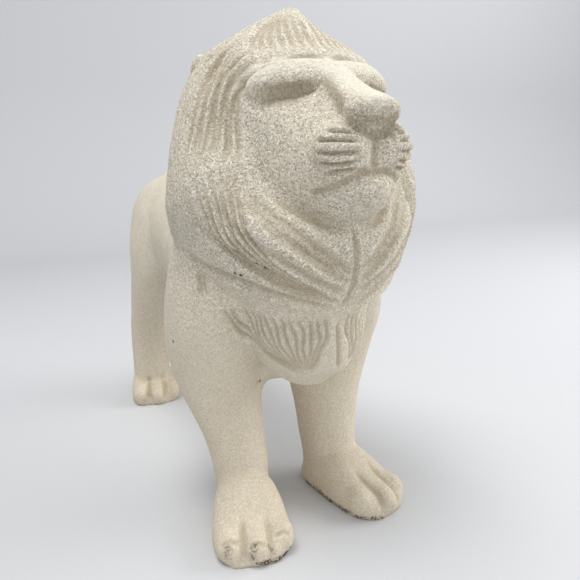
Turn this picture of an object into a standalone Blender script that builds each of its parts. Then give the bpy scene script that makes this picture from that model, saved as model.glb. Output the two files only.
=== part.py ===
# A lion standing on its four paws with its head raised, cast as one solid piece of sandy stone.
# It is made the way a modeller works clay: plain masses are set together, melted into one skin and
# smoothed, and then the mane, the face and the toes are worked into that skin with strokes.
# The lion faces -Y with its left side at +X, and stands on z = 0.

import math

import bmesh
import bpy
import numpy as np
from mathutils import Euler, Matrix, Vector
from mathutils.bvhtree import BVHTree

# Driving dimensions, in metres
HEIGHT = 0.330  # from the soles to the peak of the forelock
FORE_STANCE = 0.080  # between the middles of the two fore paws
HIND_STANCE = 0.086  # between the middles of the two hind paws
FORE_STRIDE = 0.005  # how far the right fore paw stands ahead of the left one
FORE_PAW = 0.079  # length of a fore paw, heel to toes
HIND_PAW = 0.060
FORE_SPLAY = math.radians(16)  # how far a fore paw turns out
HIND_SPLAY = math.radians(10)
BROW_SLOPE = math.radians(50)  # how far the brow's broad side leans back
BODY_GRAIN = 0.0040  # size of the clay's grain while the body is melted together
SKIN_GRAIN = 0.0016  # size of the grain of the finished skin
MOST_TRIANGLES = 9600

# The free form is drawn in parts of the height, each a millimetre on a lion 330 mm high
PART = HEIGHT / 330
LEFT, RIGHT = 1, -1
FORE_SPREAD = {LEFT: 0.97, RIGHT: 1.08}  # the right fore paw is the broader one
FORE_ASIDE = {LEFT: 0, RIGHT: 3}  # and it stands further out from under its leg
BROW_MIDDLE = (0, -143, 289)

RING_SIDES = 40
RINGS_PER_SPAN = 6


def clear_scene():
    for obj in list(bpy.data.objects):
        bpy.data.objects.remove(obj)


def smooth_rows(rows, per_span):
    """Rows of numbers, with rounded rows between them on a Catmull-Rom curve."""
    rows = np.array(rows, float)
    padded = np.vstack([2 * rows[0] - rows[1], rows, 2 * rows[-1] - rows[-2]])
    made = []
    for a, b, c, d in zip(padded, padded[1:], padded[2:], padded[3:]):
        for t in np.arange(per_span) / per_span:
            made.append(
                0.5 * (2 * b + (c - a) * t + (2 * a - 5 * b + 4 * c - d) * t**2 + (3 * b - a - 3 * c + d) * t**3)
            )
    made.append(rows[-1])
    return np.array(made)


def add_loft(clay, axis, stations, squareness=2.0, place=Matrix()):
    """A closed skin over sections across an axis. A station is its place on the axis, the section's
    middle on the two other axes and its half sizes there, and may end in a squareness of its own."""
    others = [i for i in range(3) if i != axis]
    rings = []
    rows = [(*station, squareness)[:6] for station in stations]
    for at, middle_a, middle_b, half_a, half_b, square in smooth_rows(rows, RINGS_PER_SPAN):
        ring = []
        for k in range(RING_SIDES):
            angle = 2 * math.pi * k / RING_SIDES
            c, s = math.cos(angle), math.sin(angle)
            point = Vector((0, 0, 0))
            point[axis] = at
            point[others[0]] = middle_a + half_a * math.copysign(abs(c) ** (2 / square), c)
            point[others[1]] = middle_b + half_b * math.copysign(abs(s) ** (2 / square), s)
            ring.append(clay.verts.new(place @ (point * PART)))
        rings.append(ring)
    sides = [
        clay.faces.new((a[k - 1], a[k], b[k], b[k - 1])) for a, b in zip(rings, rings[1:]) for k in range(RING_SIDES)
    ]
    caps = [clay.faces.new(rings[0]), clay.faces.new(rings[-1])]
    bmesh.ops.recalc_face_normals(clay, faces=sides + caps)


def add_ball(clay, middle, radii, turn=(0, 0, 0), place=Matrix()):
    """An ellipsoid, with its own turns about X, Y and Z in degrees."""
    about = Euler([math.radians(a) for a in turn]).to_matrix().to_4x4()
    shape = Matrix.Translation(Vector(middle) * PART) @ about @ Matrix.Diagonal((*(Vector(radii) * PART), 1))
    bmesh.ops.create_icosphere(clay, subdivisions=4, radius=1, matrix=place @ shape)


def melt(clay, grain, rounds):
    """The clay as one skin: every mass joined, at this grain, and smoothed."""
    mesh = bpy.data.meshes.new("clay")
    clay.to_mesh(mesh)
    clay.free()
    obj = bpy.data.objects.new("clay", mesh)
    bpy.context.scene.collection.objects.link(obj)
    joined = obj.modifiers.new("Join", "REMESH")
    joined.mode = "VOXEL"
    joined.voxel_size = grain
    joined.use_smooth_shade = True
    smooth = obj.modifiers.new("Smooth", "SMOOTH")
    smooth.factor = 0.5
    smooth.iterations = rounds
    bpy.context.view_layer.update()
    graph = bpy.context.evaluated_depsgraph_get()
    skin = bmesh.new()
    skin.from_mesh(bpy.data.meshes.new_from_object(obj.evaluated_get(graph)))
    bpy.data.objects.remove(obj)
    return skin


def stood(side, stance, stations):
    """Leg stations whose places across the lion are counted out from the middle of their paw."""
    return [(up, side * (stance / 2 / PART + out), *rest) for up, out, *rest in stations]


def add_trunk(clay):
    trunk = [
        (-120, 0, 165, 34, 40),
        (-95, 0, 168, 56, 56),
        (-50, 0, 170, 62, 60),
        (0, 0, 174, 58, 57),
        (45, 0, 177, 55, 55),
        (95, 0, 181, 50, 54, 2.1),
        (140, 0, 179, 46, 57, 2.2),
        (168, 0, 173, 37, 50, 2.2),
        (184, 0, 167, 20, 30, 2),
    ]
    add_loft(clay, 1, trunk)
    add_ball(clay, (0, -58, 128), (36, 48, 42))


def add_fore_leg(clay, side):
    leg = [
        (196, 4, -72, 24, 34),
        (185, 4, -70, 28, 42),
        (160, 6, -66, 30, 46),
        (135, 6.5, -62, 31.5, 47),
        (115, 6, -58, 31.5, 42),
        (95, 3.5, -58, 30, 36),
        (78, 1.5, -61, 26.5, 31),
        (62, -1, -66, 23, 28),
        (48, -3, -71, 20.5, 27),
        (34, -4, -75, 19.5, 26),
        (18, -4.5, -77, 18, 21),
        (-6, -4.5, -78, 18, 19),
    ]
    add_loft(clay, 2, stood(side, FORE_STANCE, leg), 2.2)


def add_hind_leg(clay, side):
    add_ball(clay, (side * 32, 128, 166), (25, 45, 60), (-10, 0, 0))
    leg = [
        (200, -9, 128, 19, 44),
        (170, -5, 124, 22, 44),
        (140, -3, 122, 22, 38),
        (114, -1, 133, 20.5, 29),
        (92, 0, 146, 19, 24),
        (72, 0.5, 154, 18.5, 21),
        (45, 0.5, 157, 18.5, 20),
        (20, 0, 158, 18.5, 21),
        (-6, 0, 158, 18.5, 21),
    ]
    add_loft(clay, 2, stood(side, HIND_STANCE, leg), 2.2)


def add_paw(clay, heel, length, splay, spread):
    """A long low paw with four toes, pointing forward from its heel and turned out by splay. The
    spread broadens it."""
    place = Matrix.Translation(Vector((*heel, 0)) * PART) @ Matrix.Rotation(splay, 4, "Z")
    place = place @ Matrix.Diagonal((spread, 1, 1, 1))
    palm = [
        (3, 0, 2, 9, 8),
        (-3, 0, 6, 13.5, 14),
        (-12, 0, 9, 17, 19),
        (0.36 * -length, 0, 11, 20.5, 25),
        (0.55 * -length, 0, 9, 22.5, 24),
        (0.75 * -length, 0, 6, 23.5, 17),
        (0.9 * -length, 0, 5, 20, 13),
        (-length, 0, 4, 13, 8),
    ]
    add_loft(clay, 1, palm, 2.3, place)
    out = math.copysign(1, splay)
    for across, ahead, size in TOES:
        add_ball(clay, (out * across, -length * ahead, 9), (size, 12, 11), place=place)


# the toes of a paw from the inner one outwards: how far across, how far ahead as a share of the paw, half width
TOES = [(-17, 0.8, 7.5), (-1.5, 0.9, 8.5), (14.5, 0.83, 8.5)]
TOE_GROOVES = (-9.5, 7)


def paws():
    """The place of the heel, the length, the splay and the spread of each of the four paws."""
    for side in (LEFT, RIGHT):
        fore_heel = side * (FORE_STANCE / 2 / PART - 11 + FORE_ASIDE[side]), -65 + side * FORE_STRIDE / 2 / PART
        yield fore_heel, FORE_PAW / PART, side * FORE_SPLAY, FORE_SPREAD[side]
        hind_heel = side * (HIND_STANCE / 2 / PART - 6), 186
        yield hind_heel, HIND_PAW / PART, side * HIND_SPLAY, 1


def add_tail(clay):
    tail = [
        (212, 0, 170, 10, 11),
        (196, 3, 178, 8.5, 8.5),
        (170, 14, 179, 7.5, 7.5),
        (142, 27, 171, 7, 7.5),
        (114, 37, 163, 7, 8),
        (92, 41, 170, 8, 8.5),
        (72, 42, 176, 9, 9),
        (54, 42, 177, 8, 8),
        (42, 42, 175, 4, 4),
    ]
    add_loft(clay, 2, tail)


def add_mane(clay):
    front = [
        (150, 0, -88, 42, 56, 2.1),
        (168, 0, -87, 57, 77, 2.15),
        (185, 0, -86, 68, 85, 2.2),
        (201, 0, -88, 75, 81, 2.25),
        (210, 0, -92, 78, 72, 2.3),
        (219, 0, -96, 80, 58, 2.5),
        (230, 0, -99, 79.5, 45, 3),
        (245, 0, -98, 77, 40, 3.1),
        (262, 0, -95, 73, 38, 2.8),
        (280, 0, -92, 67, 43, 2.4),
        (296, 0, -90, 57.5, 46, 2.1),
        (308, -2.5, -89, 43, 38, 2),
        (319, -3.5, -90, 23.5, 26, 2),
        (327, -1.5, -93, 9.5, 13, 2),
        (330.5, 0, -96, 5, 6, 2),
    ]
    add_loft(clay, 2, front)
    back = [
        (150, 0, -66, 48, 40),
        (185, 0, -60, 66, 56),
        (210, 0, -58, 69, 58),
        (240, 0, -62, 67, 53),
        (270, 0, -68, 62, 45),
        (295, 0, -75, 50.5, 36),
        (312, -2, -80, 33, 28),
        (323, -2, -84, 14, 16),
    ]
    add_loft(clay, 2, back)
    bib = [
        (101, 0, -112, 12, 12),
        (108, 0, -108, 22, 24),
        (118, 0, -104, 31, 41),
        (135, 0, -100, 40, 51),
        (152, 0, -96, 45, 55),
        (170, 0, -92, 55, 69),
        (190, 0, -90, 55, 62),
    ]
    add_loft(clay, 2, bib)


def add_head(clay):
    skull = [
        (-70, 0, 262, 46, 40),
        (-105, 0, 258, 50, 47),
        (-125, 0, 256, 47, 45),
        (-140, 0, 250, 41, 42.5, 2.4),
        (-150, 0, 245, 35, 37, 2.3),
        (-160, 0, 241, 29.5, 33, 2.2),
        (-170, 0, 239, 26, 28, 2.2),
        (-180, 0, 239.5, 21, 23, 2.2),
        (-187, 0, 241, 13, 14, 2.2),
    ]
    add_loft(clay, 1, skull, 2.5)
    # half of the brow, from its outer end to its middle, with places up its slope and out of it
    brow = [
        (-45, 4, -15.5, 4, 3.5),
        (-39, 2.5, -10, 7.5, 5.5),
        (-27, 0, -3.5, 9, 6),
        (-13, -2.5, 0, 9, 6),
        (0, -3, 0, 9, 6),
    ]
    place = Matrix.Translation(Vector(BROW_MIDDLE) * PART) @ Matrix.Rotation(BROW_SLOPE, 4, "X")
    add_loft(clay, 0, brow + [(-row[0], *row[1:]) for row in brow[-2::-1]], 2.8, place)
    bridge = [
        (-130, 0, 280, 10, 14),
        (-150, 0, 280, 10.5, 11),
        (-168, 0, 273, 12, 8),
        (-179, 0, 268, 14.5, 8.5),
        (-187, 0, 265.5, 15, 8),
        (-191.5, 0, 266.5, 11, 5),
    ]
    add_loft(clay, 1, bridge, 2.5)
    add_ball(clay, (0, -111, 296), (40, 29, 12))
    add_ball(clay, (0, -176.5, 228.5), (13.5, 14.5, 11))
    for side in (LEFT, RIGHT):
        add_ball(clay, (side * 13, -176, 247.5), (15, 15, 15))


def add_ears(clay):
    for side in (LEFT, RIGHT):
        add_ball(clay, (side * 46.5, -84, 286.5), (10.5, 13, 19), (0, side * 24, 0))


def lion_clay():
    """The standing lion as one skin, before the carving."""
    body = bmesh.new()
    add_trunk(body)
    for side in (LEFT, RIGHT):
        add_fore_leg(body, side)
        add_hind_leg(body, side)
    skin = melt(body, BODY_GRAIN * PART * 1000, 14)
    add_tail(skin)
    add_mane(skin)
    add_head(skin)
    add_ears(skin)
    for paw in paws():
        add_paw(skin, *paw)
    return melt(skin, SKIN_GRAIN * PART * 1000, 6)


class Chisel:
    """Works a skin with strokes, each pressed in or drawn out along the skin's normals."""

    def __init__(self, skin):
        skin.normal_update()
        self.skin = skin
        self.tree = BVHTree.FromBMesh(skin)
        self.points = np.array([v.co for v in skin.verts])
        self.normals = np.array([v.normal for v in skin.verts])
        self.depths = np.zeros(len(self.points))

    def lay(self, guide, step):
        """A guide in parts of the height as close points on the skin, with the normals there."""
        rounded = smooth_rows(guide, 8) * PART
        lengths = np.r_[0, np.cumsum(np.linalg.norm(np.diff(rounded, axis=0), axis=1))]
        places = np.linspace(0, lengths[-1], max(3, int(lengths[-1] / step)))
        laid = np.stack([np.interp(places, lengths, rounded[:, i]) for i in range(3)], axis=1)
        found = [self.tree.find_nearest(Vector(point)) for point in laid]
        return np.array([hit[0] for hit in found]), np.array([hit[1] for hit in found])

    def stroke(self, guide, width, depth, lip=0, fade=0.15):
        """One stroke. A lip keeps the stroke on one side of the guide and raises the other by it."""
        reach = width * PART
        path, normals = self.lay(guide, reach / 4)
        share = np.linspace(0, 1, len(path))
        weights = np.clip(np.minimum(share, 1 - share) / max(fade, 1e-6), 0, 1) if fade else np.ones(len(path))
        near = np.all((self.points > path.min(0) - reach) & (self.points < path.max(0) + reach), axis=1)
        index = np.nonzero(near)[0]
        tangents = np.gradient(path, axis=0)
        sideways = np.cross(normals, tangents)
        sideways /= np.linalg.norm(sideways, axis=1)[:, None] + 1e-12
        for part in np.array_split(index, max(1, len(index) * len(path) // 4000000)):
            offsets = self.points[part][:, None, :] - path[None, :, :]
            distances = np.linalg.norm(offsets, axis=2)
            nearest = distances.argmin(axis=1)
            rows = np.arange(len(part))
            ratio = distances[rows, nearest] / reach
            facing = np.einsum("ij,ij->i", self.normals[part], normals[nearest]) > 0.1
            bump = np.where(facing, np.clip(1 - ratio**2, 0, None) ** 2, 0) * weights[nearest]
            if lip:
                side = np.einsum("ij,ij->i", offsets[rows, nearest], sideways[nearest]) / reach
                bump = bump * np.where(side > 0, -lip / depth, 1) * np.clip(np.abs(side) * 5, 0, 1)
            self.depths[part] -= depth * PART * bump

    def both(self, guide, *sizes, **options):
        """The same stroke on the two sides of the lion."""
        guide = np.array(guide, float)
        self.stroke(guide, *sizes, **options)
        mirror = guide * (-1, 1, 1)
        if options.get("lip"):
            mirror = mirror[::-1]
        self.stroke(mirror, *sizes, **options)

    def work(self):
        """The skin with every stroke given so far worked into it."""
        moved = self.points + self.normals * self.depths[:, None]
        for vert, point in zip(self.skin.verts, moved):
            vert.co = point
        return self.skin


def carve_face(chisel):
    chisel.both([(40, -130, 277), (29, -136, 277.5), (20, -140, 277.5), (9, -147, 278.5)], 6, 2.2, fade=0.35)
    chisel.both([(36, -131, 272), (24, -138, 272), (12, -145, 273)], 9, 1.2)
    chisel.both([(50, -122, 280), (44, -130, 289), (34, -137, 294), (20, -139, 296.5), (0, -142, 297)], 4.5, 1.6)
    chisel.both([(8, -152, 285), (11, -162, 278), (15, -174, 271), (19, -182, 266)], 6, 0.7)
    chisel.stroke([(-15, -187, 261), (-7, -191, 260.5), (7, -191, 260.5), (15, -187, 261)], 6, 1)
    chisel.stroke([(-18, -179, 260), (-9, -186, 257.5), (0, -189, 254), (9, -186, 257.5), (18, -179, 260)], 4, 1.6)
    chisel.stroke([(0, -190, 253), (0, -192, 248), (0, -191, 238)], 5, 1.6, fade=0)
    chisel.both([(0, -191, 238), (9, -189, 236), (17, -180, 231), (25, -164, 226)], 4, 1.8)
    jaw = [(0, -166, 207), (12, -159, 205), (24, -150, 209), (33, -143, 217), (42, -134, 229)]
    chisel.both(jaw, 5, 1.2, fade=0.3)


def between(inner, outer, share, count=14):
    """The guide that lies this share of the way from an inner guide to an outer one."""
    pair = []
    for guide in (inner, outer):
        rows = smooth_rows(guide, 8)
        lengths = np.r_[0, np.cumsum(np.linalg.norm(np.diff(rows, axis=0), axis=1))]
        places = np.linspace(0, lengths[-1], count)
        pair.append(np.stack([np.interp(places, lengths, rows[:, i]) for i in range(3)], axis=1))
    return pair[0] * (1 - share) + pair[1] * share


# Guides on the lion's left side: the locks run between them, and from the face to the breast
FACE_LOCK = [(36, -137, 294), (47, -127, 276), (50, -132, 248), (49, -138, 230), (28, -162, 204), (0, -171, 181)]
CHEEK_LOCK = [(36, -104, 311), (54, -106, 297), (75, -115, 240), (73, -117, 209), (33, -157, 171), (0, -161, 156)]
NAPE_LOCK = [(24, -66, 318), (52, -44, 288), (67, -24, 250), (68, -20, 222), (68, -50, 203), (71, -84, 196)]
TIER_EDGE = [(71, -70, 197), (68, -93, 185), (55, -130, 176), (35, -153, 164), (12, -158, 155), (0, -159, 153)]
BIB_LOW = [(64, -103, 171), (56, -109, 149), (43, -113, 137), (23, -127, 115), (12, -124, 106)]
BIB_HIGH = [(26, -153, 157), (18, -152, 147), (12, -151, 138), (8, -149, 127), (4, -143, 113)]


def carve_mane(chisel):
    chisel.both(TIER_EDGE, 9, 2.6, lip=2.2, fade=0.3)
    for share in (0, 0.25, 0.5, 0.62, 0.74, 0.86):
        chisel.both(between(FACE_LOCK, CHEEK_LOCK, share), 5, 2, fade=0.1)
    for share in (0.08, 0.3, 0.52, 0.74):
        chisel.both(between(CHEEK_LOCK[:-2], NAPE_LOCK[:-1], share), 6, 1.8, fade=0.15)
    chisel.both(NAPE_LOCK, 8, 1.6, lip=1.2)
    for share in (0, 0.25, 0.5, 0.75, 1):
        chisel.both(between(BIB_LOW, BIB_HIGH, share), 5, 1.8, fade=0.15)
    chisel.stroke([(0, -166, 207), (0, -172, 190), (0, -168, 170), (0, -160, 154)], 5, 2, fade=0.1)
    for turn in (8, 22, 36):
        chisel.both([(turn * 0.3, -104, 326), (turn * 0.8, -116, 312), (turn, -146 + turn * 0.5, 297)], 5, 1.6)
    chisel.both([(46, -96, 298), (51, -96, 291), (55, -95, 284)], 4.5, 1.8)  # the ear's hollow


def carve_toes(chisel):
    for heel, length, splay, spread in paws():
        turn = Matrix.Rotation(splay, 3, "Z") @ Matrix.Diagonal((spread, 1, 1))
        for across in np.array(TOE_GROOVES) * math.copysign(1, splay):
            local = [(across * 0.9, -length * 0.68, 27), (across, -length * 0.85, 22), (across * 1.03, -length - 3, 8)]
            local.append((across * 1.03, -length - 3, 2))
            chisel.stroke([turn @ Vector(point) + Vector((*heel, 0)) for point in local], 4.5, 1.8, fade=0.2)


def stone_material():
    material = bpy.data.materials.new("sandstone")
    material.use_nodes = True
    shader = material.node_tree.nodes["Principled BSDF"]
    shader.inputs["Base Color"].default_value = (0.66, 0.6, 0.5, 1)
    shader.inputs["Roughness"].default_value = 0.92
    return material


def settled(skin):
    """The carved skin in fewer triangles, with its middle over the origin."""
    mesh = bpy.data.meshes.new("lion")
    skin.to_mesh(mesh)
    skin.free()
    lion = bpy.data.objects.new("lion", mesh)
    bpy.context.scene.collection.objects.link(lion)
    mesh.calc_loop_triangles()
    thin = lion.modifiers.new("Fewer triangles", "DECIMATE")
    thin.ratio = MOST_TRIANGLES / len(mesh.loop_triangles)
    bpy.context.view_layer.update()
    lion.data = bpy.data.meshes.new_from_object(lion.evaluated_get(bpy.context.evaluated_depsgraph_get()))
    lion.modifiers.clear()
    standing = np.array([v.co for v in lion.data.vertices if v.co.z > 0])
    middle = (standing.min(axis=0) + standing.max(axis=0)) / 2
    lion.data.transform(Matrix.Translation((-middle[0], -middle[1], 0)))
    return lion


def cut_soles(lion):
    """The ground cuts the four soles flat."""
    bpy.ops.mesh.primitive_cube_add(size=1, location=(0, 0, -0.15 * HEIGHT))
    ground = bpy.context.object
    ground.name = "ground"
    ground.scale = (HEIGHT, 2 * HEIGHT, 0.3 * HEIGHT)
    ground.display_type = "WIRE"
    ground.hide_render = True
    soles = lion.modifiers.new("Flat soles", "BOOLEAN")
    soles.operation = "DIFFERENCE"
    soles.solver = "EXACT"
    soles.object = ground


def make_lion():
    chisel = Chisel(lion_clay())
    carve_face(chisel)
    carve_mane(chisel)
    carve_toes(chisel)
    lion = settled(chisel.work())
    lion.name = "lion"
    lion.data.materials.clear()
    lion.data.materials.append(stone_material())
    cut_soles(lion)
    return lion


def main():
    clear_scene()
    return make_lion()


if __name__ == "__main__":
    main()
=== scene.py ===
# Standing lion of sandy cast stone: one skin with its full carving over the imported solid, the stone's
# finish, a pale floor, soft light and the camera. Sizes called "parts" are 1/330 of the lion's height,
# which is a millimetre on this one. The lion faces -Y and its left side is at +X.

import math

import bmesh
import bpy
import numpy as np
from mathutils import Euler, Matrix, Quaternion, Vector, noise
from mathutils.bvhtree import BVHTree
from mathutils.kdtree import KDTree


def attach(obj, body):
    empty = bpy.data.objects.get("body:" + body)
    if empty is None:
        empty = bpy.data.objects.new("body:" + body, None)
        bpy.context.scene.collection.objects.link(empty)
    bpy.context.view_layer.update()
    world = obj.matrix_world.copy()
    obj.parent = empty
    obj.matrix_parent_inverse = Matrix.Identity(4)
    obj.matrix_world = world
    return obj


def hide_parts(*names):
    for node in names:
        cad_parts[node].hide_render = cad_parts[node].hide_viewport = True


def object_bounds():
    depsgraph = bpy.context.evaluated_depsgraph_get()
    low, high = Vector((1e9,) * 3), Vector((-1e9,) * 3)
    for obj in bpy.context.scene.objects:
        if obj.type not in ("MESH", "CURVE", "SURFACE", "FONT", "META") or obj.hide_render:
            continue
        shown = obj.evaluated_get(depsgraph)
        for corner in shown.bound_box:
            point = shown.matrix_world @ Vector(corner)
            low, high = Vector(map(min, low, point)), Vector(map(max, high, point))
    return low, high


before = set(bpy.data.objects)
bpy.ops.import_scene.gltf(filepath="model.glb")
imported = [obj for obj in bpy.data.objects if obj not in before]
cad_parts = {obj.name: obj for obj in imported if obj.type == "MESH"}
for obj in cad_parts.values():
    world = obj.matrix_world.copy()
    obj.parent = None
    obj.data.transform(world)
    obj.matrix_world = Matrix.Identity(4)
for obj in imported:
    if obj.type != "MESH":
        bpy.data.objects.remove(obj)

cadLow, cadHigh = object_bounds()
left, right = 1, -1

clayWork = {
    "heightInParts": 330.4,  # soles to crest
    "ringSides": 40,
    "ringsPerSpan": 6,
    "bodyGrain": 4.0,  # voxel of the trunk and legs, in parts
    "bodyRounds": 14,
    "skinGrain": 1.6,
    "skinRounds": 6,
    "fineGrain": 0.62,  # voxel of the skin that the fine carving is cut in
    "fineRounds": 5,
    "triangles": {"body": 32000, "nape": 26000, "front": 136000},
    "carvedAbove": 95,  # where the carved head and breast begin, in parts
    "napeBefore": -15,
    "frontBefore": -92,
    "uneven": 0.35,  # how far the casting strays, in swells this many parts across
    "swell": 11,
}
part = (cadHigh.z - cadLow.z) / clayWork["heightInParts"]  # metres in one part


# Clay masses

def smoothRows(rows, perSpan):
    rows = np.array(rows, float)
    padded = np.vstack([2 * rows[0] - rows[1], rows, 2 * rows[-1] - rows[-2]])
    made = []
    for a, b, c, d in zip(padded, padded[1:], padded[2:], padded[3:]):
        for t in np.arange(perSpan) / perSpan:
            curve = (2 * a - 5 * b + 4 * c - d) * t**2 + (3 * b - a - 3 * c + d) * t**3
            made.append(0.5 * (2 * b + (c - a) * t + curve))
    made.append(rows[-1])
    return np.array(made)


def addLoft(clay, axis, stations, squareness=2.0, place=Matrix()):
    # a station: its place on the axis, then middle and half size on the two other axes, then squareness
    others = [i for i in range(3) if i != axis]
    sides = clayWork["ringSides"]
    rings = []
    rows = [(*station, squareness)[:6] for station in stations]
    for at, middleA, middleB, halfA, halfB, square in smoothRows(rows, clayWork["ringsPerSpan"]):
        ring = []
        for k in range(sides):
            c, s = math.cos(2 * math.pi * k / sides), math.sin(2 * math.pi * k / sides)
            point = Vector((0, 0, 0))
            point[axis] = at
            point[others[0]] = middleA + halfA * math.copysign(abs(c) ** (2 / square), c)
            point[others[1]] = middleB + halfB * math.copysign(abs(s) ** (2 / square), s)
            ring.append(clay.verts.new(place @ (point * part)))
        rings.append(ring)
    faces = []
    for a, b in zip(rings, rings[1:]):
        faces += [clay.faces.new((a[k - 1], a[k], b[k], b[k - 1])) for k in range(sides)]
    faces += [clay.faces.new(rings[0]), clay.faces.new(rings[-1])]
    bmesh.ops.recalc_face_normals(clay, faces=faces)


def addBall(clay, middle, radii, turn=(0, 0, 0), place=Matrix()):
    about = Euler([math.radians(a) for a in turn]).to_matrix().to_4x4()
    shape = Matrix.Translation(Vector(middle) * part) @ about @ Matrix.Diagonal((*(Vector(radii) * part), 1))
    bmesh.ops.create_icosphere(clay, subdivisions=4, radius=1, matrix=place @ shape)


def evaluated(obj):
    # the object's mesh with its modifiers, in place of the one it had
    bpy.context.view_layer.update()
    mesh = bpy.data.meshes.new_from_object(obj.evaluated_get(bpy.context.evaluated_depsgraph_get()))
    obj.modifiers.clear()
    obj.data = mesh
    return obj


def melt(obj, grain, rounds):
    # joins every mass into one skin of this voxel size and smooths it
    joined = obj.modifiers.new("Join", "REMESH")
    joined.mode = "VOXEL"
    joined.voxel_size = grain * part
    joined.use_smooth_shade = True
    smooth = obj.modifiers.new("Smooth", "SMOOTH")
    smooth.factor = 0.5
    smooth.iterations = rounds
    return evaluated(obj)


# Trunk and legs

lionBody = {
    "foreStance": 80,  # between the middles of the fore paws
    "hindStance": 86,
    "foreStride": 5,  # the right fore paw stands this far ahead
    "forePaw": 79,
    "hindPaw": 60,
    "foreSplay": 16,  # degrees that a fore paw turns out
    "hindSplay": 10,
    "foreSpread": {left: 0.97, right: 1.08},  # the right fore paw is the broader one
    "foreAside": {left: 0, right: 3},  # and it stands further out from under its leg
    "foreHeel": (11, -65),  # how far inside its leg's middle, and its place along the lion
    "hindHeel": (6, 186),
    "toes": [(-17, 0.8, 7.5), (-1.5, 0.9, 8.5), (14.5, 0.83, 8.5)],  # from the inner: across, ahead, half width
    "toeGrooves": (-9.5, 7),
    "toeGrooveFrom": {left: 0.62, right: 0.76},  # the right paws' toes are cut shorter
    "nailTall": 18,
    "nailHalf": 6,
    # dirt in front of the right fore paw: across, its top, its width, how dark
    "toeDirt": [(-17, 16, 3, 0.65), (-1.5, 17, 3, 0.8), (12, 17, 1.6, 0.7)],
    "trunk": [
        (-120, 0, 165, 34, 40),
        (-95, 0, 168, 56, 56),
        (-50, 0, 170, 62, 60),
        (0, 0, 174, 58, 57),
        (45, 0, 177, 55, 55),
        (95, 0, 181, 50, 54, 2.1),
        (140, 0, 179, 46, 57, 2.2),
        (168, 0, 173, 37, 50, 2.2),
        (184, 0, 167, 20, 30, 2),
    ],
    "foreLeg": [
        (196, 4, -72, 24, 34),
        (185, 4, -70, 28, 42),
        (160, 6, -66, 30, 46),
        (135, 6.5, -62, 31.5, 47),
        (115, 6, -58, 31.5, 42),
        (95, 3.5, -58, 30, 36),
        (78, 1.5, -61, 26.5, 31),
        (62, -1, -66, 23, 28),
        (48, -3, -71, 20.5, 27),
        (34, -4, -75, 19.5, 26),
        (18, -4.5, -77, 18, 21),
        (-6, -4.5, -78, 18, 19),
    ],
    "hindLeg": [
        (200, -9, 128, 19, 44),
        (170, -5, 124, 22, 44),
        (140, -3, 122, 22, 38),
        (114, -1, 133, 20.5, 29),
        (92, 0, 146, 19, 24),
        (72, 0.5, 154, 18.5, 21),
        (45, 0.5, 157, 18.5, 20),
        (20, 0, 158, 18.5, 21),
        (-6, 0, 158, 18.5, 21),
    ],
    "tail": [
        (212, 0, 170, 10, 11),
        (196, 3, 178, 8.5, 8.5),
        (170, 14, 179, 7.5, 7.5),
        (142, 27, 171, 7, 7.5),
        (114, 37, 163, 7, 8),
        (92, 41, 170, 8, 8.5),
        (72, 42, 176, 9, 9),
        (54, 42, 177, 8, 8),
        (42, 42, 175, 4, 4),
    ],
}


def stood(side, stance, stations):
    # leg stations count out from the middle of their paw
    return [(up, side * (stance / 2 + out), *rest) for up, out, *rest in stations]


def addTrunkAndLegs(clay):
    addLoft(clay, 1, lionBody["trunk"])
    addBall(clay, (0, -58, 128), (36, 48, 42))
    for side in (left, right):
        addLoft(clay, 2, stood(side, lionBody["foreStance"], lionBody["foreLeg"]), 2.2)
        addBall(clay, (side * 32, 128, 166), (25, 45, 60), (-10, 0, 0))
        addLoft(clay, 2, stood(side, lionBody["hindStance"], lionBody["hindLeg"]), 2.2)


def paws():
    # heel, length, splay and spread of each paw, the left ones first
    for side in (left, right):
        inside, along = lionBody["foreHeel"]
        aside = lionBody["foreStance"] / 2 - inside + lionBody["foreAside"][side]
        heel = side * aside, along + side * lionBody["foreStride"] / 2
        splay = side * math.radians(lionBody["foreSplay"])
        yield heel, lionBody["forePaw"], splay, lionBody["foreSpread"][side]
        inside, along = lionBody["hindHeel"]
        heel = side * (lionBody["hindStance"] / 2 - inside), along
        yield heel, lionBody["hindPaw"], side * math.radians(lionBody["hindSplay"]), 1


def addPaw(clay, heel, length, splay, spread):
    place = Matrix.Translation(Vector((*heel, 0)) * part) @ Matrix.Rotation(splay, 4, "Z")
    place = place @ Matrix.Diagonal((spread, 1, 1, 1))
    palm = [
        (3, 0, 2, 9, 8),
        (-3, 0, 6, 13.5, 14),
        (-12, 0, 9, 17, 19),
        (0.36 * -length, 0, 11, 20.5, 25),
        (0.55 * -length, 0, 9, 22.5, 24),
        (0.75 * -length, 0, 6, 23.5, 17),
        (0.9 * -length, 0, 5, 20, 13),
        (-length, 0, 4, 13, 8),
    ]
    addLoft(clay, 1, palm, 2.3, place)
    out = math.copysign(1, splay)
    for across, ahead, size in lionBody["toes"]:
        addBall(clay, (out * across, -length * ahead, 9), (size, 12, 11), place=place)


# Mane, head and ears

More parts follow.
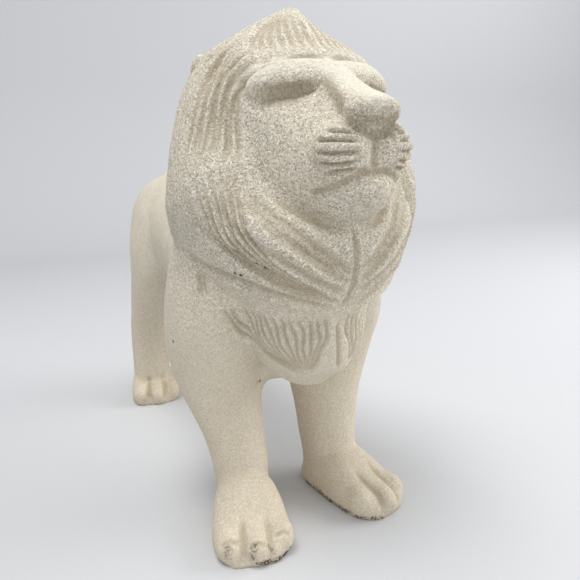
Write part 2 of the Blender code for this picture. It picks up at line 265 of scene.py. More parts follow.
lionHead = {
    "maneFront": [
        (150, 0, -88, 42, 56, 2.1),
        (168, 0, -87, 57, 77, 2.15),
        (185, 0, -86, 68, 85, 2.2),
        (201, 0, -88, 75, 81, 2.25),
        (210, 0, -92, 78, 72, 2.3),
        (219, 0, -96, 80, 58, 2.5),
        (230, 0, -99, 79.5, 45, 3),
        (245, 0, -98, 77, 40, 3.1),
        (262, 0, -95, 73, 38, 2.8),
        (280, 0, -92, 67, 43, 2.4),
        (296, 0, -90, 57.5, 46, 2.1),
        (308, -2.5, -89, 43, 38, 2),
        (319, -3.5, -90, 23.5, 26, 2),
        (327, -1.5, -93, 9.5, 13, 2),
        (330.5, 0, -96, 5, 6, 2),
    ],
    "maneBack": [
        (150, 0, -66, 48, 40),
        (185, 0, -60, 66, 56),
        (210, 0, -58, 69, 58),
        (240, 0, -62, 67, 53),
        (270, 0, -68, 62, 45),
        (295, 0, -75, 50.5, 36),
        (312, -2, -80, 33, 28),
        (323, -2, -84, 14, 16),
    ],
    "bib": [
        (101, 0, -112, 12, 12),
        (108, 0, -108, 22, 24),
        (118, 0, -104, 31, 41),
        (135, 0, -100, 40, 51),
        (152, 0, -96, 45, 55),
        (170, 0, -92, 55, 69),
        (190, 0, -90, 55, 62),
    ],
    "skull": [
        (-70, 0, 262, 46, 40),
        (-105, 0, 258, 50, 47),
        (-125, 0, 256, 47, 45),
        (-140, 0, 250, 41, 42.5, 2.4),
        (-150, 0, 245, 35, 37, 2.3),
        (-160, 0, 241, 29.5, 33, 2.2),
        (-170, 0, 239, 26, 28, 2.2),
        (-180, 0, 239.5, 21, 23, 2.2),
        (-187, 0, 241, 13, 14, 2.2),
    ],
    "browMiddle": (0, -143, 289),
    "browSlope": 50,  # degrees that the brow's broad side leans back
    "brow": [  # one half, from the outer end to the middle, up the slope and out of it
        (-45, 4, -15.5, 4, 3.5),
        (-39, 2.5, -10, 7.5, 5.5),
        (-27, 0, -3.5, 9, 6),
        (-13, -2.5, 0, 9, 6),
        (0, -3, 0, 9, 6),
    ],
    "bridge": [
        (-130, 0, 280, 10, 14),
        (-150, 0, 280, 10.5, 11),
        (-168, 0, 273, 12, 8),
        (-179, 0, 268, 14.5, 8.5),
        (-187, 0, 265.5, 15, 8),
        (-191.5, 0, 266.5, 11, 5),
    ],
}


def addManeAndHead(clay):
    for name in ("maneFront", "maneBack", "bib"):
        addLoft(clay, 2, lionHead[name])
    addLoft(clay, 1, lionHead["skull"], 2.5)
    half = lionHead["brow"]
    lean = Matrix.Rotation(math.radians(lionHead["browSlope"]), 4, "X")
    place = Matrix.Translation(Vector(lionHead["browMiddle"]) * part) @ lean
    addLoft(clay, 0, half + [(-row[0], *row[1:]) for row in half[-2::-1]], 2.8, place)
    addLoft(clay, 1, lionHead["bridge"], 2.5)
    addBall(clay, (0, -111, 296), (40, 29, 12))  # forehead
    addBall(clay, (0, -176.5, 228.5), (13.5, 14.5, 11))  # chin
    for side in (left, right):
        addBall(clay, (side * 13, -176, 247.5), (15, 15, 15))  # whisker pad
        addBall(clay, (side * 46.5, -84, 286.5), (10.5, 13, 19), (0, side * 24, 0))  # ear


def meshOf(clay, name):
    mesh = bpy.data.meshes.new(name)
    clay.to_mesh(mesh)
    clay.free()
    obj = bpy.data.objects.new(name, mesh)
    bpy.context.scene.collection.objects.link(obj)
    return obj


def lionSkin():
    clay = bmesh.new()
    addTrunkAndLegs(clay)
    skin = melt(meshOf(clay, "lionSkin"), clayWork["bodyGrain"], clayWork["bodyRounds"])
    clay = bmesh.new()
    clay.from_mesh(skin.data)
    bpy.data.objects.remove(skin)
    addLoft(clay, 2, lionBody["tail"])
    addManeAndHead(clay)
    for paw in paws():
        addPaw(clay, *paw)
    skin = melt(meshOf(clay, "lionSkin"), clayWork["skinGrain"], clayWork["skinRounds"])
    return melt(skin, clayWork["fineGrain"], clayWork["fineRounds"])


# Chisel work

class Chisel:  # strokes pressed in or drawn out along the skin's normals
    def __init__(self, skin):
        self.skin = skin
        mesh = skin.data
        self.points = np.empty(len(mesh.vertices) * 3)
        mesh.vertices.foreach_get("co", self.points)
        self.points = self.points.reshape(-1, 3)
        self.normals = np.empty(len(mesh.vertices) * 3)
        mesh.vertex_normals.foreach_get("vector", self.normals)
        self.normals = self.normals.reshape(-1, 3)
        self.depths = np.zeros(len(self.points))
        self.cuts = np.zeros(len(self.points))  # share of a groove's depth, for the dust and painted shade in it
        self.dirtAndShade = np.zeros(len(self.points))
        self.wornAndHighlight = np.zeros(len(self.points))
        self.tree = BVHTree.FromObject(skin, bpy.context.evaluated_depsgraph_get())
        self.near = KDTree(len(self.points))
        for index, point in enumerate(self.points.tolist()):
            self.near.insert(point, index)
        self.near.balance()

    def lay(self, guide, step):
        # the guide as close points on the skin, with the normals there
        rounded = smoothRows(guide, 8) * part
        lengths = np.r_[0, np.cumsum(np.linalg.norm(np.diff(rounded, axis=0), axis=1))]
        places = np.linspace(0, lengths[-1], max(3, int(lengths[-1] / step)))
        laid = np.stack([np.interp(places, lengths, rounded[:, i]) for i in range(3)], axis=1)
        found = [self.tree.find_nearest(Vector(point)) for point in laid]
        return np.array([hit[0] for hit in found]), np.array([hit[1] for hit in found])

    def stroke(self, guide, width, depth, lip=0, fade=0.15, press=(1, 1), sharp=2):
        # press: weights at even shares of the length. sharp: 2 is a round groove, 1 a crease.
        reach = width * part
        path, normals = self.lay(guide, reach / 3)
        share = np.linspace(0, 1, len(path))
        weights = np.clip(np.minimum(share, 1 - share) / fade, 0, 1) if fade else np.ones(len(path))
        weights = weights * np.interp(share, np.linspace(0, 1, len(press)), press)
        hits = []
        for k, point in enumerate(path):
            hits += [(index, gap, k) for _, index, gap in self.near.find_range(point, reach)]
        if not hits:
            return
        hits = np.array(hits)
        hits = hits[np.lexsort((hits[:, 1], hits[:, 0]))]
        index, first = np.unique(hits[:, 0].astype(int), return_index=True)
        ratio = hits[first, 1] / reach
        nearest = hits[first, 2].astype(int)
        facing = np.einsum("ij,ij->i", self.normals[index], normals[nearest]) > 0.1
        bump = np.where(facing, np.clip(1 - ratio**sharp, 0, None) ** sharp, 0) * weights[nearest]
        if lip:
            sideways = np.cross(normals, np.gradient(path, axis=0))
            sideways /= np.linalg.norm(sideways, axis=1)[:, None] + 1e-12
            side = np.einsum("ij,ij->i", self.points[index] - path[nearest], sideways[nearest]) / reach
            bump = bump * np.where(side > 0, -lip / depth, 1) * np.clip(np.abs(side) * 5, 0, 1)
        self.depths[index] -= depth * part * bump
        self.cuts[index] = np.maximum(self.cuts[index], bump if depth > 0 else 0)

    def both(self, guide, *sizes, **options):
        # the same stroke on the lion's two sides
        guide = np.array(guide, float)
        self.stroke(guide, *sizes, **options)
        mirror = guide * (-1, 1, 1)
        if options.get("lip"):
            mirror = mirror[::-1]
            if "press" in options:
                options = {**options, "press": options["press"][::-1]}
        self.stroke(mirror, *sizes, **options)

    def around(self, point, reach):
        # the skin's points near this one, and how much of a mark's strength each takes
        for _, index, gap in self.near.find_range(Vector(point), reach):
            yield index, 1 - (gap / reach) ** 2

    def soilAndShade(self, guide, width, share=1):
        for point in self.lay(guide, width * part / 3)[0]:
            for index, strength in self.around(point, width * part):
                self.dirtAndShade[index] = max(self.dirtAndShade[index], share * strength)

    def wearAndHighlight(self, guide, width):
        for point in self.lay(guide, width * part / 4)[0]:
            for index, strength in self.around(point, width * part):
                self.wornAndHighlight[index] = max(self.wornAndHighlight[index], strength)

    def pit(self, spot, width, depth, share):
        point = self.tree.find_nearest(Vector(spot) * part)[0]
        for index, strength in self.around(point, width * part):
            self.depths[index] -= depth * part * strength
            self.dirtAndShade[index] = max(self.dirtAndShade[index], share * strength)

    def work(self):
        moved = self.points + self.normals * self.depths[:, None]
        self.skin.data.vertices.foreach_set("co", moved.ravel())
        self.skin.data.update()
        return self.skin


def between(inner, outer, share, wave=0, count=16):
    # the guide at this share of the way from an inner guide to an outer one, which may waver a little
    pair = []
    for guide in (inner, outer):
        rows = smoothRows(guide, 8)
        lengths = np.r_[0, np.cumsum(np.linalg.norm(np.diff(rows, axis=0), axis=1))]
        places = np.linspace(0, lengths[-1], count)
        pair.append(np.stack([np.interp(places, lengths, rows[:, i]) for i in range(3)], axis=1))
    shares = (share + wave * np.sin(np.linspace(0, 14, count) + share * 23))[:, None]
    return pair[0] * (1 - shares) + pair[1] * shares


lionMane = {
    # guides on the lion's left side, from the face to the breast
    "faceLock": [
        (36, -137, 294), (47, -127, 276), (50, -132, 248),
        (49, -138, 230), (28, -162, 204), (0, -171, 181),
    ],
    "cheekLock": [
        (36, -104, 311), (54, -106, 297), (75, -115, 240),
        (73, -117, 209), (33, -157, 171), (0, -161, 156),
    ],
    "ropeHigh": [
        (52, -131, 246), (54, -136, 232), (54, -145, 209),
        (48, -149, 198), (35, -159, 182), (12, -168, 166),
    ],
    "ropeLow": [
        (73, -120, 240), (70, -127, 220), (62, -131, 201),
        (55, -139, 191), (45, -149, 181), (14, -163, 159),
    ],
    "napeLock": [
        (24, -66, 318), (52, -44, 288), (67, -24, 250),
        (68, -20, 222), (68, -50, 203), (71, -84, 196),
    ],
    "tierEdge": [
        (71, -70, 197), (68, -93, 185), (55, -130, 176),
        (35, -153, 164), (12, -158, 155), (0, -159, 153),
    ],
    "bibLow": [(57, -111, 157), (45, -110, 141), (35, -117, 129), (26, -129, 120), (18, -133, 115)],
    "bibHigh": [(8, -151, 154), (7, -150, 142), (10, -149, 134), (12, -145, 125), (14, -140, 117)],
    "napeTop": [(0, -62, 322), (0, -30, 300), (0, -12, 270), (0, -2, 240), (0, -2, 222)],
    "lockShares": (0, 0.25, 0.5, 0.86),  # the first are in the solid too
    "fineShares": (0.05, 0.1, 0.15, 0.2, 0.8, 0.92),
    "ropes": 6,
    "temples": 9,
    "sides": 10,
    "napes": 5,
    "bibStrands": 13,
    "sideCuts": (63, 67, 70.5),
    "throat": [(0, -166, 207), (0, -172, 190), (0, -168, 170), (0, -160, 154)],
    "bibMiddle": [(0, -160, 150), (1, -154, 132), (4, -146, 118)],
}


def carveMane(chisel):
    mane = lionMane
    chisel.both(mane["tierEdge"], 9, 2.8, lip=2.2, press=(0.2, 0.7, 1, 1, 1))
    for share in mane["lockShares"]:  # the broad locks that the solid shows too
        lock = between(mane["faceLock"], mane["cheekLock"], share, 0.01)
        chisel.both(lock, 4, 1.9, fade=0.06, press=(1, 0.35, 0.05, 0.6, 1, 1), sharp=1.5)
    for share in np.linspace(0, 1, mane["ropes"]):
        rope = between(mane["ropeHigh"], mane["ropeLow"], share, 0.008)
        chisel.both(rope, 2.3, 2.3, fade=0.12, press=(0.1, 0.7, 1, 1, 1), sharp=1.5)
        if share > 0:
            chisel.both(between(mane["ropeHigh"], mane["ropeLow"], share - 0.1), 1.6, -0.7, fade=0.2)
    for share in mane["fineShares"]:
        lock = between(mane["faceLock"], mane["cheekLock"], share, 0.01)
        chisel.both(lock, 2, 1.5, fade=0.1, press=(1, 0.2, 0.05, 0.7, 1, 1), sharp=1.4)
    for share in np.linspace(0.02, 0.98, mane["temples"]):  # at the temple the grooves run deeper
        temple = between(mane["faceLock"], mane["cheekLock"], share, 0.03)[:7]
        chisel.both(temple, 2.7, 1.7, fade=0.2, sharp=1.6)
    for share in np.linspace(0.08, 0.96, mane["sides"]):
        side = between(mane["cheekLock"][:-2], mane["napeLock"][:-1], share, 0.02)
        chisel.both(side, 2.9, 1.2, fade=0.15, press=(1, 0.5, 0.15, 0.4), sharp=1.6)
    chisel.both(mane["napeLock"], 8, 1.6, lip=1.2)
    for share in np.linspace(0.15, 0.85, mane["napes"]):
        chisel.both(between(mane["napeLock"], mane["napeTop"], share, 0.02), 3.6, 1.3, fade=0.2, sharp=1.6)
    for share in np.linspace(0, 1, mane["bibStrands"]):
        deep = 1.8 if share < 0.2 else 1.5
        strand = between(mane["bibLow"], mane["bibHigh"], share, 0.01)
        chisel.both(strand, 2.1, deep, fade=0.08, press=(0.7, 1, 1, 1, 0.6), sharp=1.5)
    for across in mane["sideCuts"]:  # short cuts at the tier's side
        chisel.both([(across, -101, 182), (across, -101, 172), (across - 2, -102, 162)], 2.2, 1.4, fade=0.3)
    chisel.stroke(mane["throat"], 3.4, 1.8, fade=0.1)
    chisel.stroke(mane["bibMiddle"], 2.5, 1.2, fade=0.1)
    for turn in np.linspace(4, 40, 7):
        guide = [(turn * 0.3, -104, 326), (turn * 0.8, -116, 312), (turn, -146 + turn * 0.5, 297)]
        chisel.both(guide, 3, 0.6, fade=0.3)


lionFace = {
    "socket": [(40, -130, 277), (29, -136, 277.5), (20, -140, 277.5), (9, -147, 278.5)],
    "socketFloor": [(38, -130, 272), (26, -137, 272), (12, -145, 273)],
    "innerCorner": [(20, -140, 275), (14, -143, 275), (9, -147, 276.5)],
    "browCrease": [(50, -122, 280), (44, -130, 289), (34, -137, 294), (20, -139, 296.5), (0, -142, 297)],
    "bridgeSide": [(8, -152, 285), (11, -162, 278), (15, -174, 271), (19, -182, 266)],
    "noseFront": [(-15, -187, 261), (-7, -191, 260.5), (7, -191, 260.5), (15, -187, 261)],
    "underNose": [(-18, -179, 260), (-9, -186, 257.5), (0, -189, 254), (9, -186, 257.5), (18, -179, 260)],
    "philtrum": [(0, -190, 253), (0, -192, 248), (0, -191, 238)],
    "mouth": [(0, -191, 238), (9, -189, 236), (17, -180, 231), (25, -164, 226)],
    "jaw": [(0, -166, 207), (12, -159, 205), (24, -150, 209), (33, -143, 217), (42, -134, 229)],
    "earHollow": [(46, -96, 298), (51, -96, 291), (55, -95, 284)],
    "whiskers": 5,
    "whiskerTop": 257.3,
    "whiskerPitch": 5.4,
    "wornAndLitBrow": [(44, -128, 284), (34, -136, 290), (18, -142, 292), (0, -146, 292)],
    "wornAndLitBridge": [(0, -146, 292), (0, -160, 284), (0, -176, 274), (0, -184, 271)],
    "noseDirtAndShade": (264, 260, 256),  # heights of three bands of it
    "pits": [
        (-55, -134, 183), (-53, -137, 182), (-48, -147, 189),
        (-45, -150, 186), (-77, -70, 128), (-23, -87, 95),
    ],
}


def carveFace(chisel):
    chisel.both(lionFace["socket"], 5.5, 2.3, fade=0.35)
    chisel.both(lionFace["socketFloor"], 9, 1.4, fade=0.3)
    chisel.both(lionFace["innerCorner"], 2.6, 1.5, fade=0.5)
    chisel.both(lionFace["browCrease"], 4, 1.8)
    chisel.both(lionFace["bridgeSide"], 6, 0.7)
    chisel.stroke(lionFace["noseFront"], 6, 1)
    chisel.stroke(lionFace["underNose"], 3.5, 1.8)
    chisel.stroke(lionFace["philtrum"], 3.4, 1.4, fade=0)
    chisel.both(lionFace["mouth"], 3, 1.9, fade=0.1)
    chisel.both(lionFace["jaw"], 5, 1.2, fade=0.3, press=(1, 1, 0.3))
    chisel.both(lionFace["earHollow"], 4.5, 1.8)
    for row in range(lionFace["whiskers"]):
        up = lionFace["whiskerTop"] - lionFace["whiskerPitch"] * row
        short = 4 if row in (0, lionFace["whiskers"] - 1) else 0
        tilt = (row - 2) * 0.6
        guide = [(29 - short, -175 - short, up - tilt), (22, -184, up - 0.4), (11, -191, up + tilt)]
        chisel.both(guide, 2, 2.3, fade=0.2, sharp=1.5)
        # the whisker grooves are darkened as painted shade
        for side in (left, right):
            chisel.soilAndShade([(side * x, y, z) for x, y, z in guide], 1.1, 0.35)


def placedOnPaw(heel, splay, spread, points):
    turn = Matrix.Rotation(splay, 3, "Z") @ Matrix.Diagonal((spread, 1, 1))
    return [turn @ Vector(point) + Vector((*heel, 0)) for point in points]


def carveToes(chisel):
    for heel, length, splay, spread in paws():
        side = math.copysign(1, splay)
        back = -length * lionBody["toeGrooveFrom"][side]
        for across in np.array(lionBody["toeGrooves"]) * side:
            low = across * 1.03, -length - 3
            guide = [(across * 0.9, back, 27), (across, -length * 0.88, 22), (*low, 8), (*low, 2)]
            chisel.stroke(placedOnPaw(heel, splay, spread, guide), 4, 1.7, fade=0.25)


def carveNails(chisel):
    # the right fore paw still shows its nails, faintly; dirt clings in front of them
    (leftHeel, length, leftSplay, _), _, (heel, _, splay, spread), _ = paws()
    tall, half = lionBody["nailTall"], lionBody["nailHalf"]
    for across, ahead, _ in lionBody["toes"]:
        tip = -length * ahead - 10
        arch = [(-half, 2, tall - 6), (-4, 0, tall - 2), (0, 0, tall), (4, 0, tall - 2), (half, 2, tall - 6)]
        arch = [(out - across, tip + along, up) for out, along, up in arch]
        chisel.stroke(placedOnPaw(heel, splay, spread, arch), 2.4, 1, fade=0.2, sharp=1.5)
    for across, high, wide, share in lionBody["toeDirt"]:
        low = across - 1, -length - 4
        streak = [(across, -length - 3, high), (*low, high - 5), (*low, 8)]
        chisel.soilAndShade(placedOnPaw(heel, splay, spread, streak), wide, share)
    # and along the edges of both fore soles
    rim = [(1, -length - 5, 1), (12, -length - 4, 1), (20, -length + 2, 1), (26, -length + 14, 1)]
    chisel.soilAndShade(placedOnPaw(heel, splay, spread, rim), 2.8, 1.6)
    rim = [(-15, -10, 1), (-22, -30, 1), (-25, -50, 1), (-24, -66, 1), (-10, -82, 1)]
    chisel.soilAndShade(placedOnPaw(leftHeel, leftSplay, 1, rim), 2.2, 1.4)


def markFace(chisel):
    # the nose front is darkened: painted shade where it faces down, with some dirt
    for up in lionFace["noseDirtAndShade"]:
        chisel.soilAndShade([(-12, -187, up), (0, -191, up - 1), (12, -187, up)], 6, 0.3)
    for spot in lionFace["pits"]:
        chisel.pit(spot, 1.3, 1, 5)
    # the brow and the bridge are worn pale and smooth, and painted lighter where the light from above falls:
    # partly wear, partly painted highlight
    for side in (right, left):
        chisel.wearAndHighlight([(side * x, y, z) for x, y, z in lionFace["wornAndLitBrow"]], 11)
    chisel.wearAndHighlight(lionFace["wornAndLitBridge"], 12)


def weather(chisel):
    # the casting's slow unevenness
    spots = (chisel.points / part / clayWork["swell"]).tolist()
    uneven = np.array([noise.noise(spot) for spot in spots])
    chisel.depths += clayWork["uneven"] * part * uneven


def hollows(skin, looks=10, reach=14):
    # how closed in each point is, from short looks around its normal; the stone is painted darker there as
    # shade
    mesh = skin.data
    tree = BVHTree.FromObject(skin, bpy.context.evaluated_depsgraph_get())
    turns = [(k * 2.399963, math.sqrt((k + 0.5) / looks)) for k in range(looks)]
    spread = [(math.cos(a) * r, math.sin(a) * r, math.sqrt(1 - r * r)) for a, r in turns]
    closed = np.zeros(len(mesh.vertices), np.float32)
    for index, vertex in enumerate(mesh.vertices):
        normal = vertex.normal
        sideways = normal.orthogonal().normalized()
        third = normal.cross(sideways)
        start = vertex.co + normal * 0.4 * part
        hits = 0
        for a, b, c in spread:
            if tree.ray_cast(start, sideways * a + third * b + normal * c, reach * part)[0] is not None:
                hits += 1
        closed[index] = hits / looks
    return closed


def thinned(skin):
    # the body, the nape and the carved front each keep their own share of the triangles
    mesh = skin.data
    points = np.empty(len(mesh.vertices) * 3)
    mesh.vertices.foreach_get("co", points)
    points = points.reshape(-1, 3) / part
    upper = (points[:, 2] > clayWork["carvedAbove"]) & (points[:, 1] < clayWork["napeBefore"])
    front = upper & (points[:, 1] < clayWork["frontBefore"])
    mesh.calc_loop_triangles()
    before = len(mesh.loop_triangles)
    perPoint = before / len(points)
    for name, chosen in (("body", ~upper), ("nape", upper & ~front), ("front", front)):
        skin.vertex_groups.new(name=name).add(np.flatnonzero(chosen).tolist(), 1, "REPLACE")
        goal = before - chosen.sum() * perPoint + clayWork["triangles"][name]
        thin = skin.modifiers.new("Fewer triangles " + name, "DECIMATE")
        thin.vertex_group = name
        thin.ratio = min(1, goal / before)
        before = goal
    evaluated(skin)


def settled(skin, marks):
    # fewer triangles, over the imported solid, flat on the ground; the marks of dust and dirt with their
    # painted shade, and of wear with its painted highlight, are carried over, and the hollows are measured for
    # painted shade
    count = len(skin.data.vertices)
    near = KDTree(count)
    points = np.empty(count * 3)
    skin.data.vertices.foreach_get("co", points)
    for index, point in enumerate(points.reshape(-1, 3).tolist()):
        near.insert(point, index)
    near.balance()
    thinned(skin)
    mesh = skin.data
    kept = np.empty(len(mesh.vertices) * 3)
    mesh.vertices.foreach_get("co", kept)
    kept = kept.reshape(-1, 3)
    source = [near.find(point)[1] for point in kept.tolist()]
    for name, values in marks.items():
        mesh.attributes.new(name, "FLOAT", "POINT").data.foreach_set("value", values[source].astype(np.float32))
    # the closeness of the hollows, which darkens the stone as painted shade
    mesh.attributes.new("hollowShade", "FLOAT", "POINT").data.foreach_set("value", hollows(skin))
    above = kept[kept[:, 2] > 0]
    middle = (above.min(axis=0) + above.max(axis=0)) / 2
    goal = (cadLow + cadHigh) / 2
    mesh.transform(Matrix.Translation((goal.x - middle[0], goal.y - middle[1], 0)))
    return skin


def cutSoles(skin):
    # everything under the ground plane is cut away and the soles are closed flat
    sole = bmesh.new()
    sole.from_mesh(skin.data)
    everything = sole.verts[:] + sole.edges[:] + sole.faces[:]
    ground = {"plane_co": (0, 0, 0), "plane_no": (0, 0, 1)}
    cut = bmesh.ops.bisect_plane(sole, geom=everything, clear_inner=True, **ground)
    rim = [edge for edge in cut["geom_cut"] if isinstance(edge, bmesh.types.BMEdge)]
    bmesh.ops.contextual_create(sole, geom=rim)
    bmesh.ops.triangulate(sole, faces=[face for face in sole.faces if len(face.verts) > 4])
    sole.to_mesh(skin.data)
    sole.free()
    return skin


# Stone

sandstone = {
    "cream": (0.67, 0.60, 0.475),
    "greyer": (0.62, 0.565, 0.455),
    # painted warm shade and floor bounce near the ground
    "warmShade": (0.64, 0.55, 0.415),
    # wear, and painted highlight on the lit brow and bridge
    "wornAndHighlight": (0.78, 0.74, 0.63),
    # dust, and painted shade, in the grooves and hollows
    "dustAndShade": (0.38, 0.31, 0.21),
    # dirt, and painted shade on the nose front and in the whisker grooves
    "dirtAndShade": (0.09, 0.07, 0.05),
    "lightGrain": (0.92, 0.88, 0.80),
    "darkGrain": (0.30, 0.24, 0.16),
    "grainSize": 0.00075,
    "grainDepth": 0.0012,
    "bodyGrains": 0.4,  # how strong the sand shows on the body, beside the head and mane
    "sandyUp": (0.12, 0.19),  # where it grows, in metres
    "sandyAhead": (-0.01, -0.06),
    "warmShadeDown": (0.16, 0.02),
    "patch": 0.045,  # size of the slow changes of tone
    "roughness": 0.0017,
    "dirtSpeckle": 0.0016,
}


def sandstoneMaterial():
    material = bpy.data.materials.new("sandstone")
    material.use_nodes = True
    nodes, links = material.node_tree.nodes, material.node_tree.links
    shader = nodes["Principled BSDF"]
    shader.inputs["Roughness"].default_value = 0.95
    shader.inputs["Specular IOR Level"].default_value = 0.15
    place = nodes.new("ShaderNodeTexCoord")

    def noiseAt(size, detail=2.0, roughness=0.5):
        node = nodes.new("ShaderNodeTexNoise")
        node.inputs["Scale"].default_value = 1 / size
        node.inputs["Detail"].default_value = detail
        node.inputs["Roughness"].default_value = roughness
        links.new(place.outputs["Object"], node.inputs["Vector"])
        return node.outputs["Fac"]

    def ranged(value, low, high, toLow=0.0, toHigh=1.0):
        node = nodes.new("ShaderNodeMapRange")
        for name, number in (("From Min", low), ("From Max", high), ("To Min", toLow), ("To Max", toHigh)):
            node.inputs[name].default_value = number
        links.new(value, node.inputs["Value"])
        return node.outputs["Result"]

    def computed(operation, first, second):
        node = nodes.new("ShaderNodeMath")
        node.operation = operation
        for socket, value in zip(node.inputs, (first, second)):
            if isinstance(value, (int, float)):
                socket.default_value = value
            else:
                links.new(value, socket)
        return node.outputs[0]

    def mixed(share, first, second):
        node = nodes.new("ShaderNodeMix")
        node.data_type = "RGBA"
        for socket, value in ((node.inputs[0], share), (node.inputs[6], first), (node.inputs[7], second)):
            if isinstance(value, (tuple, float)):
                socket.default_value = (*value, 1) if isinstance(value, tuple) else value
            else:
                links.new(value, socket)
        return node.outputs[2]

    def measured(name):
        node = nodes.new("ShaderNodeAttribute")
        node.attribute_name = name
        return node.outputs["Fac"]

    # slow changes of tone over the casting
    tone = mixed(ranged(noiseAt(sandstone["patch"], 3), 0.4, 0.62), sandstone["greyer"], sandstone["cream"])
    spot = nodes.new("ShaderNodeSeparateXYZ")
    links.new(place.outputs["Object"], spot.inputs[0])
    # darker and warmer towards the bottom: painted warm shade and floor bounce
    tone = mixed(ranged(spot.outputs["Z"], *sandstone["warmShadeDown"], 0, 0.7), tone, sandstone["warmShade"])
    # the sand shows most on the head and mane
    raised = ranged(spot.outputs["Z"], *sandstone["sandyUp"])
    ahead = ranged(spot.outputs["Y"], *sandstone["sandyAhead"])
    sandy = ranged(computed("MULTIPLY", raised, ahead), 0, 1, sandstone["bodyGrains"], 1)
    grains = nodes.new("ShaderNodeTexVoronoi")
    grains.inputs["Scale"].default_value = 1 / sandstone["grainSize"]
    links.new(place.outputs["Object"], grains.inputs["Vector"])
    single = nodes.new("ShaderNodeSeparateColor")
    links.new(grains.outputs["Color"], single.inputs[0])
    lighter = computed("MULTIPLY", ranged(single.outputs[0], 0.45, 1, 0, 0.85), sandy)
    darker = computed("MULTIPLY", ranged(single.outputs[1], 0.5, 1, 0, 0.75), sandy)
    tone = mixed(lighter, tone, sandstone["lightGrain"])
    tone = mixed(darker, tone, sandstone["darkGrain"])
    # the brow and bridge: partly wear, partly painted highlight where the light from above falls
    tone = mixed(ranged(measured("wornAndHighlight"), 0.1, 0.8, 0, 0.6), tone, sandstone["wornAndHighlight"])
    # dust and painted shade in the cuts, and painted shade in the hollows
    tone = mixed(ranged(measured("dustAndShade"), 0.15, 0.9, 0, 0.55), tone, sandstone["dustAndShade"])
    tone = mixed(ranged(measured("hollowShade"), 0.1, 0.8, 0, 0.35), tone, sandstone["dustAndShade"])
    broken = ranged(noiseAt(sandstone["dirtSpeckle"], 2, 0.6), 0.4, 0.6)
    soiledAndShaded = computed("MULTIPLY", measured("dirtAndShade"), computed("ADD", broken, 0.15))
    tone = mixed(ranged(soiledAndShaded, 0.02, 1), tone, sandstone["dirtAndShade"])
    links.new(tone, shader.inputs["Base Color"])
    sand = noiseAt(sandstone["roughness"], 2, 0.6)
    rough = computed("ADD", sand, computed("MULTIPLY", single.outputs[2], 0.2))
    bump = nodes.new("ShaderNodeBump")
    bump.inputs["Distance"].default_value = sandstone["grainDepth"]
    links.new(sandy, bump.inputs["Strength"])
    links.new(rough, bump.inputs["Height"])
    links.new(bump.outputs["Normal"], shader.inputs["Normal"])
    return material


def makeLion():
    skin = lionSkin()
    print("lion: clay skin with", len(skin.data.vertices), "points")
    chisel = Chisel(skin)
    carveFace(chisel)
    carveMane(chisel)
    carveToes(chisel)
    carveNails(chisel)
    markFace(chisel)
    weather(chisel)
    print("lion: carved")
    lion = cutSoles(settled(chisel.work(), {"dustAndShade": chisel.cuts, "dirtAndShade": chisel.dirtAndShade, "wornAndHighlight": chisel.wornAndHighlight}))
    lion.name = "lionStatue"
    lion.data.name = "lionStatue"
    lion.data.materials.clear()
    lion.data.materials.append(sandstoneMaterial())
    lion.data.shade_smooth()
    lion.data.calc_loop_triangles()
    print("lion: settled with", len(lion.data.loop_triangles), "triangles")
    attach(lion, "root")
    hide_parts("lion")
    return lion


# Floor, light and camera

studio = {
    "floorTone": (0.585, 0.59, 0.60),
    "floorReach": 1.1,  # metres from the lion to the foot of the backdrop
    "floorNear": -2.5,
    "floorHalf": 3.0,
    "bend": 0.5,
    "bendSteps": 12,
    "wallTop": 2.5,
    "skyStrength": 0.7,
    "skyTone": (0.95, 0.97, 1.0),
    "lamps": [  # name, place, what it points at, size, watts
        ("overhead", (-0.3, -0.15, 1.4), (0, 0, 0.18), 0.6, 11),
        ("window", (1.2, -0.35, 0.7), (0, -0.08, 0.2), 0.8, 9),
        ("lowFront", (-0.1, -1.2, 0.12), (0, -0.12, 0.15), 0.7, 2),
        ("backdrop", (1.6, 0.3, 1.5), (2, 1.7, 0.5), 0.8, 12),
    ],
}


def plainMaterial(name, tone):
    material = bpy.data.materials.new(name)
    material.use_nodes = True
    shader = material.node_tree.nodes["Principled BSDF"]
    shader.inputs["Base Color"].default_value = (*tone, 1)
    shader.inputs["Roughness"].default_value = 0.9
    return material


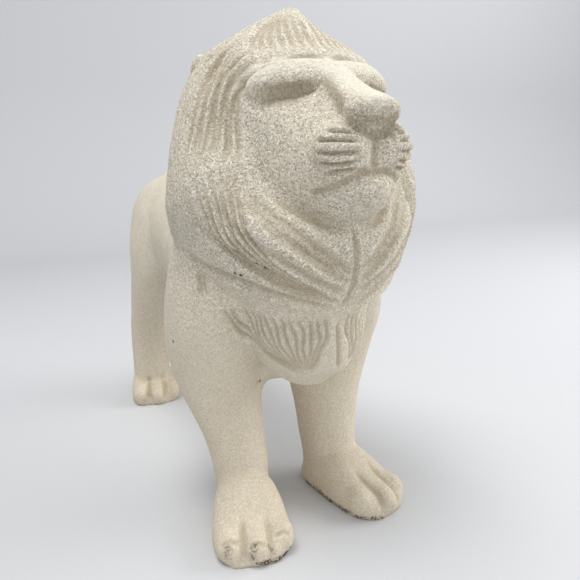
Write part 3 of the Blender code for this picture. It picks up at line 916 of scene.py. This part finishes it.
def makeStage():
    # one pale sheet: the floor, a wide bend and the wall behind
    reach, bend, steps, wide = (studio[name] for name in ("floorReach", "bend", "bendSteps", "floorHalf"))
    profile = [(studio["floorNear"], 0), (reach, 0)]
    for step in range(1, steps + 1):
        angle = math.pi / 2 * step / steps
        profile.append((reach + bend * math.sin(angle), bend * (1 - math.cos(angle))))
    profile.append((reach + bend, studio["wallTop"]))
    sheet = bmesh.new()
    rows = [[sheet.verts.new((x, y, z - 0.0002)) for x in (-wide, wide)] for y, z in profile]
    for a, b in zip(rows, rows[1:]):
        sheet.faces.new((a[0], a[1], b[1], b[0]))
    floor = meshOf(sheet, "paleFloor")
    floor.data.materials.append(plainMaterial("paleFloor", studio["floorTone"]))
    floor.data.shade_smooth()


def makeLights():
    bpy.context.scene.view_settings.view_transform = "Standard"
    world = bpy.data.worlds.new("softRoom")
    bpy.context.scene.world = world
    world.use_nodes = True
    sky = world.node_tree.nodes["Background"]
    sky.inputs["Color"].default_value = (*studio["skyTone"], 1)
    sky.inputs["Strength"].default_value = studio["skyStrength"]
    for name, place, aim, size, power in studio["lamps"]:
        lamp = bpy.data.lights.new(name, "AREA")
        lamp.size = size
        lamp.energy = power
        holder = bpy.data.objects.new(name, lamp)
        bpy.context.scene.collection.objects.link(holder)
        holder.location = place
        holder.rotation_euler = (Vector(aim) - Vector(place)).to_track_quat("-Z", "Y").to_euler()


photoCamera = {
    "beforeNose": 0.2391,  # metres ahead of the lion's foremost point
    "aside": -0.1695,
    "height": 0.2453,
    "yaw": 26.4,
    "pitch": 13.05,
    "roll": 1.2,
    "lens": 36,
}


def makeCamera():
    lens = bpy.data.cameras.new("photoCamera")
    lens.lens = photoCamera["lens"]
    lens.sensor_width = 36
    lens.clip_start = 0.01
    holder = bpy.data.objects.new("photoCamera", lens)
    bpy.context.scene.collection.objects.link(holder)
    holder.location = (photoCamera["aside"], cadLow.y - photoCamera["beforeNose"], photoCamera["height"])
    yaw, pitch = math.radians(photoCamera["yaw"]), math.radians(photoCamera["pitch"])
    look = Vector((math.sin(yaw) * math.cos(pitch), math.cos(yaw) * math.cos(pitch), -math.sin(pitch)))
    holder.rotation_mode = "QUATERNION"
    roll = Quaternion((0, 0, 1), -math.radians(photoCamera["roll"]))
    holder.rotation_quaternion = look.to_track_quat("-Z", "Y") @ roll
    bpy.context.scene.camera = holder


makeLion()
makeStage()
makeLights()
makeCamera()
print("stage, lights and camera: done")
